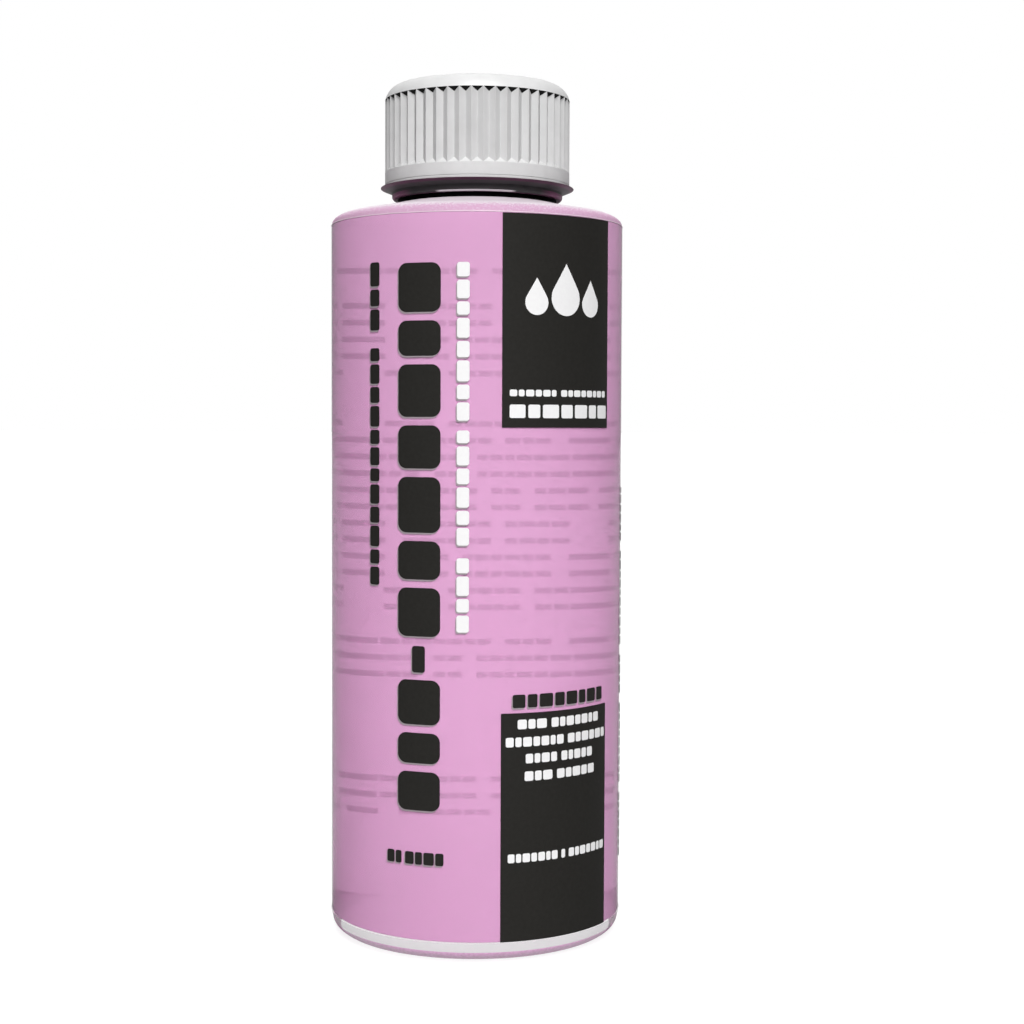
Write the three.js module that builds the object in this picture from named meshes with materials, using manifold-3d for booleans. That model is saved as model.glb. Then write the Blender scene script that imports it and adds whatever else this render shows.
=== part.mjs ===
// Nail polish remover bottle: a round clear bottle with a wrap label, the liquid in it, a pour insert
// in the neck, and a ribbed screw cap with its sealing liner.
// Millimetres, +Z up. The origin is the centre of the foot, and the label's front faces -Y.

import * as THREE from 'three';
import { mergeVertices } from 'three/addons/utils/BufferGeometryUtils.js';
import Module from 'manifold-3d';

const wasm = await Module();
wasm.setup();

// Body of the bottle
const BODY_RADIUS = 21; // heel and shoulder, flush with the label
const BODY_WALL = 0.8;
const FOOT_THICKNESS = 1.2;
const FOOT_RING_WIDTH = 3; // flat ring that the bottle stands on
const PUSH_UP = 2.4; // hollow under the foot
const HEEL_REACH = 3.5; // of the heel's curve, inwards and up
const HEEL_HEIGHT = 2.9;
const INNER_HEEL_RADIUS = 2.2;
const SHOULDER_REACH = 4.05; // of the shoulder's curve, inwards and up
const SHOULDER_HEIGHT = 2.2;
const INNER_SHOULDER_RADIUS = 2.2;
const SHOULDER_SLOPE = 0.85; // rise from the shoulder's curve to the throat

// Label, lying in a shallow panel between the heel and the shoulder
const LABEL_BOTTOM = 3.1;
const LABEL_HEIGHT = 98.3;
const LABEL_THICKNESS = 0.15;
const LABEL_SEAM = 2; // gap between the label's two ends
const LABEL_SEAM_TURN = 105; // degrees from the front to that gap

// Neck, from the shoulder up to the mouth
const THROAT_RADIUS = 11.4;
const THROAT_HEIGHT = 0.75;
const COLLAR_RADIUS = 12.24;
const COLLAR_HEIGHT = 1;
const COLLAR_ROUND = 0.45;
const BEAD_RADIUS = 13.87;
const BEAD_SLOPE = 0.62; // rise of the bead's underside
const BEAD_EDGE = 0.42;
const NECK_HEIGHT = 10.5; // from the bead to the mouth
const NECK_WALL = 1.75;
const MOUTH_CHAMFER = 0.35;

// Right-hand neck thread, 8 turns to the inch
const THREAD_PITCH = 3.175;
const THREAD_DEPTH = 0.95;
const THREAD_ROOT_WIDTH = 1.9;
const THREAD_CREST_WIDTH = 1;
const THREAD_TURNS = 1.25;
const THREAD_SETBACK = 2.4; // from the mouth down to the middle of the thread's upper end

// Screw cap
const CAP_RADIUS = 13.25;
const CAP_WALL = 0.7; // behind the ribs' grooves
const CAP_BAND = 1.55; // plain band under the ribs
const CAP_RIM = 2; // plain rim over the ribs
const CAP_EDGE_REACH = 1.5; // of the rim's curve, inwards and up
const CAP_EDGE_HEIGHT = 1.35;
const CAP_TOP_THICKNESS = 1.1;
const CAP_THREAD_TURNS = 1.25;
const CAP_THREAD_SETBACK = 0.5; // from the cap's lower edge up to the thread
const RIB_COUNT = 50;
const RIB_TURN = 1; // degrees from the front to the middle of a groove
const RIB_DEPTH = 0.55;
const RIB_UPPER_END = 0.6; // height of the slope that closes a groove
const RIB_LOWER_END = 0.7;

// Pour insert and cap liner
const INSERT_FLANGE_INSET = 0.4; // from the neck's outside
const INSERT_FLANGE = 0.8;
const INSERT_DEPTH = 7.5; // below the mouth
const INSERT_WALL = 1.2;
const INSERT_CHAMFER = 0.6;
const WEB_DEPTH = 4.5; // from the mouth down to the web
const WEB_THICKNESS = 0.9;
const ORIFICE_RADIUS = 3.2;
const LINER_THICKNESS = 1;
const LINER_CHAMFER = 0.15;

// Liquid
const HEADSPACE = 0.5; // under the shoulder

// Clearances
const RUNNING_GAP = 0.3; // between pieces that move on each other
const SEAT_GAP = 0.1; // between pieces that stay together

// Facets
const BODY_FACETS = 48;
const INSERT_FACETS = 36;
const THREAD_FACETS = 36; // in a turn
const FINE_ARC = 3;
const COARSE_ARC = 2;
const THREAD_SINK = 0.3; // depth of the thread's foot in its wall
const THREAD_RUN_OUT = 0.12; // of a turn, over which a thread's end sinks into its wall
const THREAD_END_SHARE = 0.2; // of its height, left at the very end
const SAME = 1e-4; // two points this close are one

// Places that follow from these sizes
const LABEL_INNER_RADIUS = BODY_RADIUS - LABEL_THICKNESS;
const PANEL_RADIUS = LABEL_INNER_RADIUS - SEAT_GAP;
const PANEL_BOTTOM = LABEL_BOTTOM - SEAT_GAP;
const PANEL_TOP = LABEL_BOTTOM + LABEL_HEIGHT + SEAT_GAP;
const FOOT_RADIUS = BODY_RADIUS - HEEL_REACH;
const FOOT_INNER_RADIUS = FOOT_RADIUS - FOOT_RING_WIDTH;
const CAVITY_RADIUS = PANEL_RADIUS - BODY_WALL;
const SHOULDER_EDGE = PANEL_TOP + SHOULDER_HEIGHT;
const CEILING = SHOULDER_EDGE - BODY_WALL;
const THROAT_BOTTOM = SHOULDER_EDGE + SHOULDER_SLOPE;
const COLLAR_BOTTOM = THROAT_BOTTOM + THROAT_HEIGHT;
const COLLAR_TOP = COLLAR_BOTTOM + COLLAR_HEIGHT;
const BEAD_TOP = COLLAR_TOP + BEAD_SLOPE + BEAD_EDGE;
const MOUTH = BEAD_TOP + NECK_HEIGHT;
const FLANGE_BOTTOM = MOUTH + SEAT_GAP;
const FLANGE_TOP = FLANGE_BOTTOM + INSERT_FLANGE;
const LINER_BOTTOM = FLANGE_TOP + RUNNING_GAP;
const CAP_CEILING = LINER_BOTTOM + LINER_THICKNESS + RUNNING_GAP;
const CAP_TOP = CAP_CEILING + CAP_TOP_THICKNESS;
const CAP_BOTTOM = BEAD_TOP + RUNNING_GAP;
const CAP_BORE_RADIUS = CAP_RADIUS - RIB_DEPTH - CAP_WALL;
const NECK_RADIUS = CAP_BORE_RADIUS - RUNNING_GAP - THREAD_DEPTH;
const BORE_RADIUS = NECK_RADIUS - NECK_WALL;
const INSERT_FLANGE_RADIUS = NECK_RADIUS - INSERT_FLANGE_INSET;
const THREAD_BOTTOM = MOUTH - THREAD_SETBACK - THREAD_TURNS * THREAD_PITCH;

// A profile of points (radius, height) turned about the axis, with a facet facing the front.
function turned(points, facets) {
  const geometry = new THREE.LatheGeometry(points, facets, Math.PI / facets);
  return geometry.rotateX(Math.PI / 2);
}

// A geometry with its shared corners merged and its empty triangles left out.
function welded(geometry) {
  const bare = geometry.clone();
  bare.deleteAttribute('normal');
  bare.deleteAttribute('uv');
  const merged = mergeVertices(bare, SAME);
  const corners = merged.getIndex().array;
  const kept = [];
  for (let i = 0; i < corners.length; i += 3) {
    const [a, b, c] = corners.slice(i, i + 3);
    if (a !== b && b !== c && c !== a) kept.push(a, b, c);
  }
  merged.setIndex(kept);
  return merged;
}

function toSolid(geometry) {
  const mesh = welded(geometry);
  const vertProperties = new Float32Array(mesh.getAttribute('position').array);
  const triVerts = new Uint32Array(mesh.getIndex().array);
  return new wasm.Manifold(new wasm.Mesh({ numProp: 3, vertProperties, triVerts }));
}

function toGeometry(solid) {
  const mesh = solid.getMesh();
  const geometry = new THREE.BufferGeometry();
  geometry.setAttribute('position', new THREE.BufferAttribute(mesh.vertProperties, 3));
  geometry.setIndex(new THREE.BufferAttribute(mesh.triVerts, 1));
  const flat = geometry.toNonIndexed();
  flat.computeVertexNormals();
  return flat;
}

function joined(first, second) {
  return toGeometry(toSolid(first).add(toSolid(second)));
}

// Width of the neck thread's ridge at a radius; its flanks are straight.
function neckThreadWidth(radius) {
  const share = (radius - NECK_RADIUS) / THREAD_DEPTH;
  return THREAD_ROOT_WIDTH + share * (THREAD_CREST_WIDTH - THREAD_ROOT_WIDTH);
}

// Width of the cap thread's ridge, which fills the neck thread's groove but for the running gap.
function capThreadWidth(radius) {
  return THREAD_PITCH - neckThreadWidth(radius) - 2 * RUNNING_GAP;
}

// A thread ridge from its foot radius to its crest radius. Its outline has the height along x and
// the radius along y, and climbs a pitch in each turn. It sinks into its wall at both ends.
function threadRidge(foot, crest, widthAt, bottom, startAngle, turns) {
  const halfFoot = widthAt(foot) / 2;
  const halfCrest = widthAt(crest) / 2;
  const outline = new THREE.Shape();
  outline.moveTo(-halfFoot, foot);
  outline.lineTo(halfFoot, foot);
  outline.lineTo(halfCrest, crest);
  outline.lineTo(-halfCrest, crest);
  outline.closePath();
  const steps = Math.ceil(turns * THREAD_FACETS);
  const ridge = new THREE.ExtrudeGeometry(outline, { depth: 1, steps, bevelEnabled: false });
  const position = ridge.getAttribute('position');
  for (let i = 0; i < position.count; i++) {
    const turn = position.getZ(i) * turns;
    const fromEnd = Math.min(turn, turns - turn) / THREAD_RUN_OUT;
    const rise = Math.min(1, THREAD_END_SHARE + fromEnd * (1 - THREAD_END_SHARE));
    const radius = foot + (position.getY(i) - foot) * rise;
    const angle = startAngle + turn * 2 * Math.PI;
    const height = bottom + position.getX(i) + turn * THREAD_PITCH;
    position.setXYZ(i, radius * Math.sin(angle), -radius * Math.cos(angle), height);
  }
  return ridge;
}

// The inside of the body from the axis to the shoulder, drawn in by an inset. The shoulder's arc
// stops at an angle, which is a quarter turn where it meets the ceiling.
function cavityPath(inset, shoulderAngle) {
  const radius = CAVITY_RADIUS - inset;
  const floor = FOOT_THICKNESS + inset;
  const path = new THREE.Path();
  path.moveTo(0, PUSH_UP + floor);
  path.quadraticCurveTo(FOOT_INNER_RADIUS / 2, PUSH_UP + floor, FOOT_INNER_RADIUS, floor);
  path.absarc(radius - INNER_HEEL_RADIUS, floor + INNER_HEEL_RADIUS, INNER_HEEL_RADIUS,
    -Math.PI / 2, 0, false);
  path.absarc(CAVITY_RADIUS - INNER_SHOULDER_RADIUS, CEILING - INNER_SHOULDER_RADIUS,
    INNER_SHOULDER_RADIUS - inset, 0, shoulderAngle, false);
  return path;
}

function bottleOutside() {
  const path = new THREE.Path();
  path.moveTo(0, PUSH_UP);
  path.quadraticCurveTo(FOOT_INNER_RADIUS / 2, PUSH_UP, FOOT_INNER_RADIUS, 0);
  path.absellipse(FOOT_RADIUS, HEEL_HEIGHT, HEEL_REACH, HEEL_HEIGHT, -Math.PI / 2, 0, false, 0);
  path.lineTo(BODY_RADIUS, PANEL_BOTTOM);
  path.lineTo(PANEL_RADIUS, PANEL_BOTTOM);
  path.lineTo(PANEL_RADIUS, PANEL_TOP);
  path.absellipse(BODY_RADIUS - SHOULDER_REACH, PANEL_TOP, SHOULDER_REACH, SHOULDER_HEIGHT,
    0, Math.PI / 2, false, 0);
  path.lineTo(THROAT_RADIUS, THROAT_BOTTOM);
  path.lineTo(THROAT_RADIUS, COLLAR_BOTTOM);
  path.absarc(COLLAR_RADIUS - COLLAR_ROUND, COLLAR_BOTTOM + COLLAR_ROUND, COLLAR_ROUND,
    -Math.PI / 2, 0, false);
  path.lineTo(COLLAR_RADIUS, COLLAR_TOP);
  path.lineTo(BEAD_RADIUS, COLLAR_TOP + BEAD_SLOPE);
  path.lineTo(BEAD_RADIUS, BEAD_TOP);
  path.lineTo(NECK_RADIUS, BEAD_TOP);
  path.lineTo(NECK_RADIUS, MOUTH - MOUTH_CHAMFER);
  path.lineTo(NECK_RADIUS - MOUTH_CHAMFER, MOUTH);
  path.lineTo(BORE_RADIUS, MOUTH);
  path.lineTo(BORE_RADIUS, CEILING + SHOULDER_SLOPE);
  return path;
}

function bottleGeometry() {
  const inside = cavityPath(0, Math.PI / 2).getPoints(COARSE_ARC).reverse();
  const shell = turned([...bottleOutside().getPoints(FINE_ARC), ...inside], BODY_FACETS);
  const foot = NECK_RADIUS - THREAD_SINK;
  const crest = NECK_RADIUS + THREAD_DEPTH;
  const thread = threadRidge(foot, crest, neckThreadWidth, THREAD_BOTTOM, 0, THREAD_TURNS);
  return joined(shell, thread);
}

function liquidGeometry() {
  const arcRadius = INNER_SHOULDER_RADIUS - SEAT_GAP;
  const arcCentre = CEILING - INNER_SHOULDER_RADIUS;
  const fillAngle = Math.asin((CEILING - HEADSPACE - arcCentre) / arcRadius);
  const path = cavityPath(SEAT_GAP, fillAngle);
  path.lineTo(0, CEILING - HEADSPACE);
  return turned(path.getPoints(COARSE_ARC), BODY_FACETS);
}

// A point of a faceted round: the bottle's own facets, at a radius and an angle from the front.
function facetPoint(radius, angle) {
  const step = 2 * Math.PI / BODY_FACETS;
  const offset = angle - Math.round(angle / step) * step;
  const reach = radius * Math.cos(step / 2) / Math.cos(offset);
  return new THREE.Vector2(reach * Math.sin(angle), -reach * Math.cos(angle));
}

function labelGeometry() {
  const step = 2 * Math.PI / BODY_FACETS;
  const seam = THREE.MathUtils.degToRad(LABEL_SEAM_TURN);
  const halfGap = Math.asin(LABEL_SEAM / 2 / BODY_RADIUS);
  const start = seam + halfGap - 2 * Math.PI;
  const end = seam - halfGap;
  const angles = [start];
  for (let i = Math.ceil(start / step + 0.5); (i - 0.5) * step < end; i++) {
    angles.push((i - 0.5) * step);
  }
  angles.push(end);
  const outer = angles.map((angle) => facetPoint(BODY_RADIUS, angle));
  const inner = angles.map((angle) => facetPoint(LABEL_INNER_RADIUS, angle)).reverse();
  const outline = new THREE.Shape([...outer, ...inner]);
  return new THREE.ExtrudeGeometry(outline, { depth: LABEL_HEIGHT, bevelEnabled: false });
}

function insertGeometry() {
  const outer = BORE_RADIUS - SEAT_GAP;
  const inner = outer - INSERT_WALL;
  const bottom = MOUTH - INSERT_DEPTH;
  const webTop = MOUTH - WEB_DEPTH;
  const webBottom = webTop - WEB_THICKNESS;
  const profile = [
    [ORIFICE_RADIUS, webBottom],
    [inner, webBottom],
    [inner, bottom],
    [outer - INSERT_CHAMFER, bottom],
    [outer, bottom + INSERT_CHAMFER],
    [outer, FLANGE_BOTTOM],
    [INSERT_FLANGE_RADIUS, FLANGE_BOTTOM],
    [INSERT_FLANGE_RADIUS, FLANGE_TOP],
    [inner, FLANGE_TOP],
    [inner, webTop],
    [ORIFICE_RADIUS, webTop],
    [ORIFICE_RADIUS, webBottom],
  ];
  return turned(profile.map(([r, z]) => new THREE.Vector2(r, z)), INSERT_FACETS);
}

function linerGeometry() {
  const radius = CAP_BORE_RADIUS - RUNNING_GAP;
  const top = LINER_BOTTOM + LINER_THICKNESS;
  const profile = [
    [0, LINER_BOTTOM],
    [radius - LINER_CHAMFER, LINER_BOTTOM],
    [radius, LINER_BOTTOM + LINER_CHAMFER],
    [radius, top - LINER_CHAMFER],
    [radius - LINER_CHAMFER, top],
    [0, top],
  ];
  return turned(profile.map(([r, z]) => new THREE.Vector2(r, z)), BODY_FACETS);
}

// The cap's profile from the middle of its ceiling, down its bore and up its outside.
function capPath() {
  const ribBottom = CAP_BOTTOM + CAP_BAND;
  const ribTop = CAP_TOP - CAP_RIM;
  const path = new THREE.Path();
  path.moveTo(0, CAP_CEILING);
  path.lineTo(CAP_BORE_RADIUS, CAP_CEILING);
  path.lineTo(CAP_BORE_RADIUS, CAP_BOTTOM);
  path.lineTo(CAP_RADIUS, CAP_BOTTOM);
  path.lineTo(CAP_RADIUS, ribBottom);
  path.lineTo(CAP_RADIUS, ribBottom + RIB_LOWER_END);
  path.lineTo(CAP_RADIUS, ribTop - RIB_UPPER_END);
  path.lineTo(CAP_RADIUS, ribTop);
  path.absellipse(CAP_RADIUS - CAP_EDGE_REACH, CAP_TOP - CAP_EDGE_HEIGHT, CAP_EDGE_REACH,
    CAP_EDGE_HEIGHT, 0, Math.PI / 2, false, 0);
  path.lineTo(0, CAP_TOP);
  return path;
}

// Draws every other column of the lathe's outside in between the band and the rim, so that V grooves
// stand between sharp ribs. At the grooves' ends the diagonals meet in the groove's lowest point.
function grooveRibs(lathe) {
  const position = lathe.getAttribute('position');
  const rings = lathe.parameters.points.length;
  const drawnIn = new Set();
  for (let i = 0; i < position.count; i++) {
    const column = Math.floor(i / rings);
    const { x: radius, y: height } = lathe.parameters.points[i % rings];
    const onOutside = Math.abs(radius - CAP_RADIUS) < SAME;
    const aboveBand = height > CAP_BOTTOM + CAP_BAND + SAME;
    const belowRim = height < CAP_TOP - CAP_RIM - SAME;
    if (column % 2 === 1 && onOutside && aboveBand && belowRim) {
      const share = (CAP_RADIUS - RIB_DEPTH) / CAP_RADIUS;
      position.setXYZ(i, position.getX(i) * share, height, position.getZ(i) * share);
      drawnIn.add(i);
    }
  }
  const corners = Array.from(lathe.getIndex().array);
  for (let i = 0; i < corners.length; i += 6) {
    const [a, b, d, c] = corners.slice(i, i + 4);
    const offDiagonal = drawnIn.has(a) !== drawnIn.has(c);
    const onDiagonal = drawnIn.has(b) || drawnIn.has(d);
    if (offDiagonal && !onDiagonal) corners.splice(i, 6, a, b, c, a, c, d);
  }
  lathe.setIndex(corners);
  return lathe;
}

function capGeometry() {
  const columns = 2 * RIB_COUNT;
  const points = capPath().getPoints(COARSE_ARC);
  const firstColumn = THREE.MathUtils.degToRad(RIB_TURN) - 2 * Math.PI / columns;
  const lathe = new THREE.LatheGeometry(points, columns, firstColumn);
  const shell = grooveRibs(lathe).rotateX(Math.PI / 2);
  const foot = CAP_BORE_RADIUS + THREAD_SINK;
  const crest = NECK_RADIUS + RUNNING_GAP;
  const bottom = CAP_BOTTOM + CAP_THREAD_SETBACK + capThreadWidth(CAP_BORE_RADIUS) / 2;
  const climb = bottom - (THREAD_BOTTOM - THREAD_PITCH / 2);
  const startAngle = 2 * Math.PI * climb / THREAD_PITCH;
  const thread = threadRidge(foot, crest, capThreadWidth, bottom, startAngle, CAP_THREAD_TURNS);
  return joined(shell, thread);
}

function addPiece(group, name, geometry, look) {
  const mesh = new THREE.Mesh(geometry, new THREE.MeshStandardMaterial(look));
  mesh.name = name;
  group.add(mesh);
  return mesh;
}

const clearPlastic = { color: 0xdeb5d2, roughness: 0.12, transparent: true, opacity: 0.4 };
const pinkLiquid = { color: 0xe3a8d4, roughness: 0.05, transparent: true, opacity: 0.7 };
const printedFilm = { color: 0xe3a8d4, roughness: 0.35, transparent: true, opacity: 0.85 };
const whitePlastic = { color: 0xe6e6e4, roughness: 0.45 };
const naturalPlastic = { color: 0xf0f0ea, roughness: 0.4 };
const whiteFoam = { color: 0xf6f6f2, roughness: 0.9 };

const product = new THREE.Group();
addPiece(product, 'bottle', bottleGeometry(), clearPlastic);
addPiece(product, 'liquid_fill', liquidGeometry(), pinkLiquid);
addPiece(product, 'label', labelGeometry(), printedFilm).position.z = LABEL_BOTTOM;
addPiece(product, 'pour_insert', insertGeometry(), naturalPlastic);
addPiece(product, 'cap_liner', linerGeometry(), whiteFoam);
addPiece(product, 'cap', capGeometry(), whitePlastic);

export default product;
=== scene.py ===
"""Looks of a nail polish remover bottle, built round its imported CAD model.

Sizes are millimetres and angles are degrees from the label's front, turning towards +X.
MM takes a size to Blender's metres.
"""

import math

import bmesh
import bpy
from mathutils import Matrix, Vector


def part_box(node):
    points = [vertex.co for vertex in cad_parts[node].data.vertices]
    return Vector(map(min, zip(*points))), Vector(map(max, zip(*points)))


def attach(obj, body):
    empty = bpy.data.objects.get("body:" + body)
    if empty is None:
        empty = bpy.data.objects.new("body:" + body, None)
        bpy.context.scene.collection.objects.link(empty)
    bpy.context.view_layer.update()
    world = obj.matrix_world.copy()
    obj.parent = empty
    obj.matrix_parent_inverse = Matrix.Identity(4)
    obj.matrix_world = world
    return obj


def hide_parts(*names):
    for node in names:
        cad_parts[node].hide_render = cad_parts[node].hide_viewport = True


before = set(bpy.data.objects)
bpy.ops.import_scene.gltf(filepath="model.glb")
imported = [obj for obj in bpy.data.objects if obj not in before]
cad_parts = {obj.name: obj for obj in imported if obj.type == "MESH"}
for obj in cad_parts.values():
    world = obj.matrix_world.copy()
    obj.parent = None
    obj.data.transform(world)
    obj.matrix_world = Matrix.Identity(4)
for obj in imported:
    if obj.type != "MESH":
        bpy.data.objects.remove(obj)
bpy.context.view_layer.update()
MM = 0.001
SAME = 1e-6  # two sizes this close are one


def span(node):
    """Lowest and highest point of a CAD node along the axis."""
    low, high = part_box(node)
    return low.z / MM, high.z / MM


# Heights of the CAD pieces
LABEL_BOTTOM, LABEL_TOP = span("label")
CAP_BOTTOM, CAP_TOP = span("cap")
INSERT_BOTTOM, INSERT_TOP = span("pour_insert")
LINER_BOTTOM, LINER_TOP = span("cap_liner")
MOUTH = span("bottle")[1]

# Clearances of the CAD model
SEAT_GAP = 0.1
RUNNING_GAP = 0.3

# Body of the bottle
BODY_RADIUS = 21
BODY_WALL = 0.8
FILM_THICKNESS = 0.05
SHOWN_WALL = 0.03  # the liquid seems to reach through the wall that it wets, so this much is drawn
SHOWN_GAP = 0.02
PANEL_RADIUS = BODY_RADIUS - FILM_THICKNESS - SHOWN_GAP
PANEL_BOTTOM = LABEL_BOTTOM - SEAT_GAP
PANEL_TOP = LABEL_TOP + SEAT_GAP
CAVITY_RADIUS = PANEL_RADIUS - SHOWN_WALL
FOOT_THICKNESS = 3  # drawn up to the label, so that the heel shows clear under the pink
FOOT_RING_WIDTH = 3
PUSH_UP = 2.4
HEEL_REACH = 3.5
HEEL_BAND_BOTTOM = 1.68  # the band over the foot, painted pale for the bright floor seen through the heel, starts here
HEEL_BAND_LEAN = 0.3
FOOT_ROUND_HEIGHT = 2.2
FOOT_TINT_START = -50  # degrees on the foot's round, where its pink starts
LIQUID_EDGE = 0.1  # small round, so that the liquid's ends don't show as stripes through it
FOOT_INNER_RADIUS = BODY_RADIUS - HEEL_REACH - FOOT_RING_WIDTH
SHOULDER_REACH = 4.05
SHOULDER_HEIGHT = 1.85
SHOULDER_SLOPE = 1.3
SHOULDER_LINE = 0.13  # height of the line over the label, a small chamfer painted pale as a highlight
SHOULDER_LINE_LEAN = 0.15  # of its upper edge, in from the body's radius
INNER_SHOULDER_REACH = 3.8
INNER_SHOULDER_HEIGHT = 1.2
SHOULDER_EDGE = PANEL_TOP + SHOULDER_HEIGHT
CEILING = SHOULDER_EDGE - BODY_WALL

# Cap
CAP_RADIUS = 13.25
CAP_WALL = 0.7
CAP_BAND = 1.55
CAP_RIM = 2
CAP_EDGE_REACH = 2.2
CAP_EDGE_START = 17  # degrees on the rim's round, so that it leans in from the ribs up
CAP_LIP_ROUND = 0.05
CAP_GROOVE = 0.08  # depth and half width of the fine groove round the skirt
CAP_GROOVE_DROP = 0.25
CAP_CEILING = LINER_TOP + RUNNING_GAP
RIB_COUNT = 50
RIB_TURN = 1  # degrees from the front to the middle of a groove
RIB_DEPTH = 0.55
RIB_LAND = 0.06  # flat on a crest and on a groove's floor
RIB_UPPER_END = 0.6
RIB_LOWER_END = 0.7
RIB_BOTTOM = CAP_BOTTOM + CAP_BAND
RIB_TOP = CAP_TOP - CAP_RIM
CAP_BORE_RADIUS = CAP_RADIUS - RIB_DEPTH - CAP_WALL
GATE_RADIUS = 1.1  # moulding mark in the middle of the top
GATE_RIM = 0.3
GATE_DEPTH = 0.15

# Screw thread
THREAD_PITCH = 3.175
THREAD_DEPTH = 0.95
THREAD_ROOT_WIDTH = 1.9
THREAD_CREST_WIDTH = 1
THREAD_TURNS = 1.25
THREAD_SETBACK = 2.4
THREAD_RUN_OUT = 0.12
THREAD_WRAPS = range(-2, 3)  # whole turns by which an angle may differ from one on the thread
THREAD_BOTTOM = MOUTH - THREAD_SETBACK - THREAD_TURNS * THREAD_PITCH
CAP_THREAD_ROOT_WIDTH = 1.86
CAP_THREAD_CREST_WIDTH = 0.96
CAP_THREAD_SETBACK = 0.5
CAP_THREAD_BOTTOM = CAP_BOTTOM + CAP_THREAD_SETBACK + CAP_THREAD_ROOT_WIDTH / 2

# Neck of the bottle
NECK_RADIUS = CAP_BORE_RADIUS - RUNNING_GAP - THREAD_DEPTH
NECK_WALL = 1.75
BORE_RADIUS = NECK_RADIUS - NECK_WALL
MOUTH_ROUND = 0.35
BEAD_RADIUS = 13.87
BEAD_SLOPE = 0.62
BEAD_ROUND = 0.04
BEAD_DROP = 0.72
BEAD_LOW = CAP_BOTTOM - BEAD_DROP
BEAD_TOP = BEAD_LOW + 2 * BEAD_ROUND
BEAD_PLUM_SHARE = 0.4  # of the bead's underside, from its edge inwards; the rest, to the collar, is painted charcoal shade
CAP_LIP = BEAD_TOP + SHOWN_GAP  # the skirt is drawn down to the bead, on which a closed cap sits
COLLAR_RADIUS = 12.24
COLLAR_HEIGHT = 1
COLLAR_ROUND = 0.45
GLINT_START = -72  # degrees on the collar's lower round, between which its painted highlight runs
GLINT_END = -28
COLLAR_HEM = 0.7  # from the collar's lower end; painted lit plum at the sides and painted charcoal shade in front
COLLAR_TOP = BEAD_LOW - BEAD_SLOPE
COLLAR_BOTTOM = COLLAR_TOP - COLLAR_HEIGHT
THROAT_RADIUS = 11.4
THROAT_BOTTOM = SHOULDER_EDGE + SHOULDER_SLOPE

# Pour insert and liner
INSERT_FLANGE_INSET = 0.4
INSERT_FLANGE_RADIUS = NECK_RADIUS - INSERT_FLANGE_INSET
INSERT_FLANGE = 0.8
INSERT_WALL = 1.2
INSERT_CHAMFER = 0.6
INSERT_ROUND = 0.2
INSERT_BEADS = (1.6, 3.2)  # grip beads, above the insert's lower end
INSERT_BEAD_HEIGHT = 0.08
INSERT_BEAD_REACH = 0.5
WEB_DEPTH = 4.5
WEB_THICKNESS = 0.9
WEB_TOP = MOUTH - WEB_DEPTH
ORIFICE_RADIUS = 3.2
LINER_ROUND = 0.15
LINER_PRINT = 0.05  # ring that the insert's flange has pressed into the foam
LINER_PRINT_RUN = 0.3

# Roundness of the meshes
COLUMNS = 192
ARC_STEPS = 10
SMALL_ARC_STEPS = 4
THREAD_RING = 0.16
SHARP_ANGLE = 28

# Looks
NOISE_LOW = 0.3  # most values of a noise lie between these two
NOISE_HIGH = 0.7
GLOSS_SPREAD = 0.06  # how far the roughness of moulded plastic strays either way
WALL_SHOWN = 0.03  # opacities, from 0 for quite clear to 1
FILM_SHOWN = 0.04
FOOT_SHOWN = 0.75
BAND_SHOWN = 0.45
SHOULDER_SHOWN = 0.92
LIQUID_CLEARNESS = 0.42  # share of the light that passes through the liquid's side
PLASTIC_IOR = 1.57
LIQUID_IOR = 1.44
FILM_IOR = 1.49
PALE_SPECKLE_START = 20.7  # distances from the axis between which the shoulder's speckle turns paler
PALE_SPECKLE_END = 19.4
PALE_SPECKLE_LEAST = -0.12  # what is added to the speckle at those two distances
PALE_SPECKLE_MOST = 0.3
SPECKLE = 0.22  # size of the speckle's grains
COLLAR_SIDE = 0.5  # frontness at which the collar's lower edge is painted lit plum, and at which it is painted charcoal shade
COLLAR_FRONT = 0.68
GLINT_FADE = 0.885  # frontness at which the painted highlight under the collar starts, and at which it is whole
GLINT_FULL = 0.915
FOAM_CELL = 0.35  # size of the bubbles in the liner's foam

# Camera, fitted to the photograph's outline
PHOTO_PIXELS = 1024
SENSOR = 36
FOCAL_PIXELS = 1827
CAMERA_PLACE = (5.18, -265.12, LABEL_BOTTOM + 70.16)
CAMERA_PITCH = 2.75
CAMERA_ROLL = 0.22
CAMERA_CLIP = 10


def arc(radius, height, reach, start, end, steps=ARC_STEPS, rise=None):
    """Points of an arc in a profile, from its centre, its reach and two angles.

    A rise other than the reach makes it part of an ellipse.
    """
    rise = rise or reach
    turns = [math.radians(start + (end - start) * i / steps) for i in range(steps + 1)]
    return [(radius + reach * math.cos(t), height + rise * math.sin(t)) for t in turns]


def small_arc(radius, height, reach, start, end):
    return arc(radius, height, reach, start, end, SMALL_ARC_STEPS)


def dome(radius, low, rise, steps=ARC_STEPS):
    """Points of a shallow parabola from the axis out to a radius."""
    shares = [i / steps for i in range(steps + 1)]
    return [(radius * s, low + rise * (1 - s * s)) for s in shares]


def even_columns(count):
    return [2 * math.pi * i / count for i in range(count)]


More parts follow.
